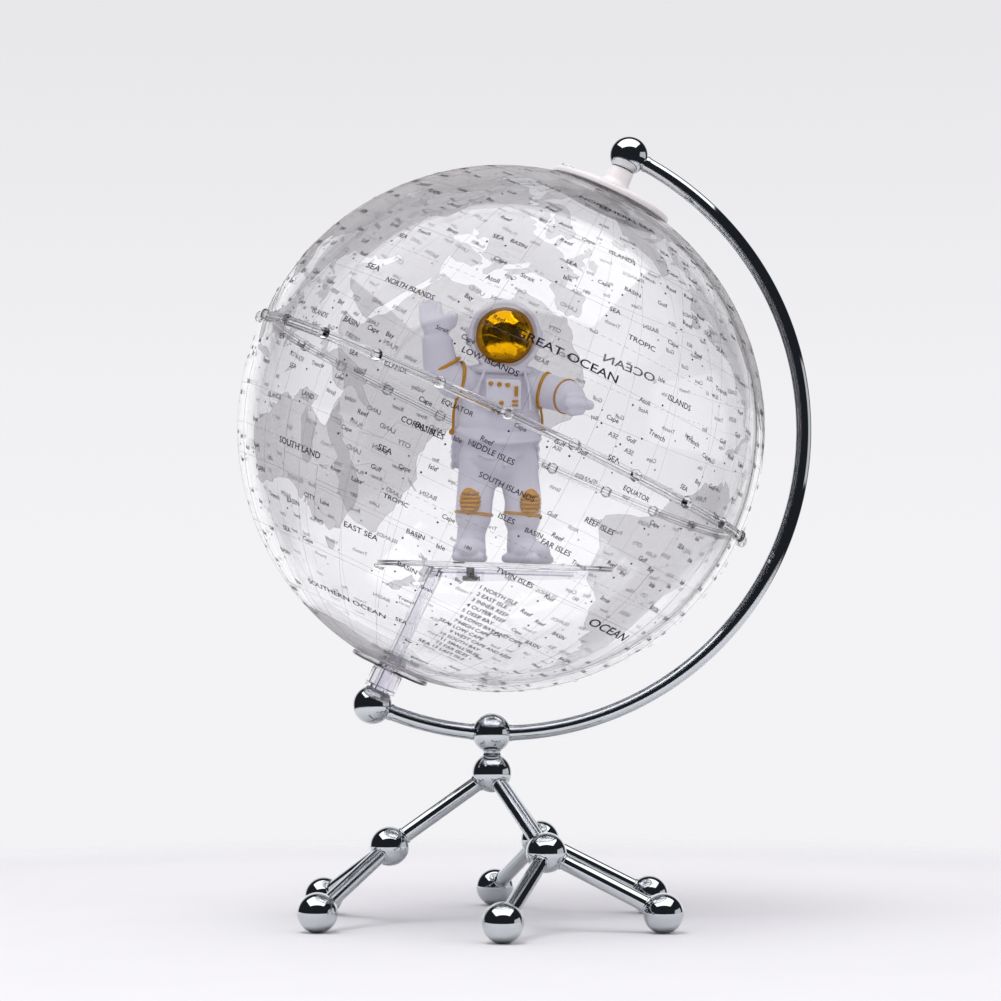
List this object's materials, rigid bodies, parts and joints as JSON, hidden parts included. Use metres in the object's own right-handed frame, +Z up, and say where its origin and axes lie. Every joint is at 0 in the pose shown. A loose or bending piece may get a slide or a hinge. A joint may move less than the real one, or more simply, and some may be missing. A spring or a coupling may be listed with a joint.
{
  "type": "desktop globe on stand",
  "caption": "Clear acrylic globe that turns on a leaning axis in a chromed C-arm, on a tripod of chromed balls and rods, with an astronaut figure on a fixed platform inside the sphere.",
  "frame": {"origin": "on the table, at the middle of the object's bounding box", "axes": "+Z up; the globe's axis leans towards +X in the XZ plane; the figure faces -Y"},
  "size_m": [0.2184, 0.2046, 0.2996],
  "materials": {
    "chrome": "mirror-polished chrome plate on steel",
    "clear_acrylic": "clear moulded acrylic, with a grey and black printed map on the sphere",
    "white_plastic": "satin white moulding",
    "steel": "plain turned steel",
    "vinyl": "matt lavender-grey paint on moulded vinyl",
    "gold_mirror": "vacuum-metallised gold mirror",
    "ochre_paint": "ochre-gold paint"
  },
  "bodies": {
    "tripod": {"tripod_hub_ball": "chrome", "hub_stud": "steel", "neck_spacer": "chrome", "knee_ball_1": "chrome", "upper_rod_1": "chrome", "knee_ball_2": "chrome", "upper_rod_2": "chrome", "knee_ball_3": "chrome", "upper_rod_3": "chrome", "foot_ball_1": "chrome", "lower_rod_1": "chrome", "foot_ball_2": "chrome", "lower_rod_2": "chrome", "foot_ball_3": "chrome", "lower_rod_3": "chrome", "foot_ball_4": "chrome", "lower_rod_4": "chrome", "foot_ball_5": "chrome", "lower_rod_5": "chrome", "foot_ball_6": "chrome", "lower_rod_6": "chrome"},
    "arm": {"arm_hub_ball": "chrome", "north_ball": "chrome", "south_ball": "chrome", "arm_tube": "chrome", "north_pin": "steel", "bracket_screw": "steel", "pillar": "clear_acrylic", "south_collar": "clear_acrylic", "platform_disc": "clear_acrylic", "platform_bracket": "clear_acrylic", "figure_suit": "vinyl", "figure_right_boot": "vinyl", "figure_left_boot": "vinyl", "figure_helmet": "vinyl", "figure_right_arm": "vinyl", "figure_left_arm": "vinyl", "figure_backpack": "vinyl", "figure_chest_pack": "vinyl", "figure_visor": "gold_mirror", "figure_knee_pad_1": "ochre_paint", "figure_knee_pad_2": "ochre_paint"},
    "globe": {"north_hemisphere": "clear_acrylic", "south_hemisphere": "clear_acrylic", "equator_ring": "clear_acrylic", "north_dial": "white_plastic", "north_collar": "white_plastic", "north_bush": "white_plastic", "dial_knob": "clear_acrylic", "south_cap": "clear_acrylic", "south_bush": "clear_acrylic"}
  },
  "joints": [
    {"name": "arm_swivel", "type": "hinge", "parent": "tripod", "child": "arm", "pos_m": [-0.01267, 0, 0.0644], "axis": [0, 0, 1], "range_deg": [-180, 180]},
    {"name": "globe_spin", "type": "hinge", "parent": "arm", "child": "globe", "pos_m": [-0.00917, 0, 0.18745], "axis": [0.4226, 0, 0.9063], "continuous": true}
  ]
}
